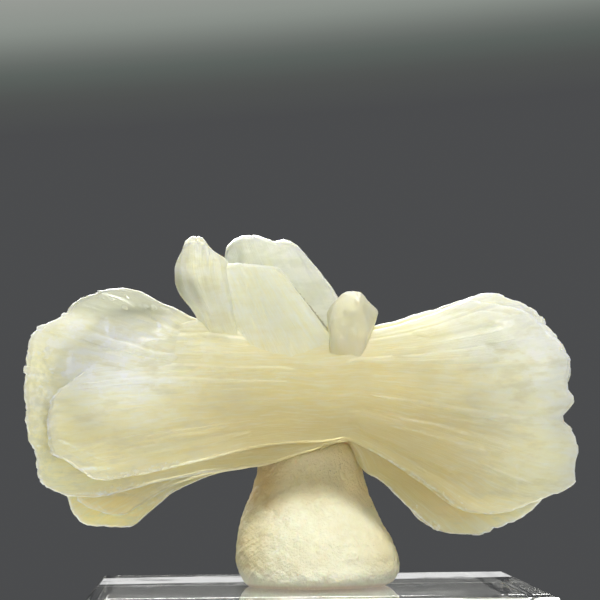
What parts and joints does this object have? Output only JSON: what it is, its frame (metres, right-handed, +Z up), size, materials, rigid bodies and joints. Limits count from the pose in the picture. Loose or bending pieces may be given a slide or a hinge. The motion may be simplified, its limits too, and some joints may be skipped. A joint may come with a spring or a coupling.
{
  "type": "stilbite crystal sheaf",
  "caption": "Bow-tie sheaf of pale yellow bladed stilbite crystals, stood on a flared mound of putty on a clear acrylic block.",
  "frame": {"origin": "centre of the acrylic block's underside", "axes": "+X to the right along the sheaf's length, +Z up, the sheaf's broad face looks along -Y"},
  "size_m": [0.0317, 0.0254, 0.0333],
  "materials": {
    "stilbite": "pearly to vitreous, translucent, finely striated along the blades",
    "putty": "waxy, off-white, with smear marks and specks of dust",
    "clear_acrylic": "polished, clear, with narrow bevels"
  },
  "bodies": {
    "root": {"stilbite_sheaf": "stilbite", "putty_mound": "putty", "acrylic_block": "clear_acrylic"}
  },
  "joints": []
}
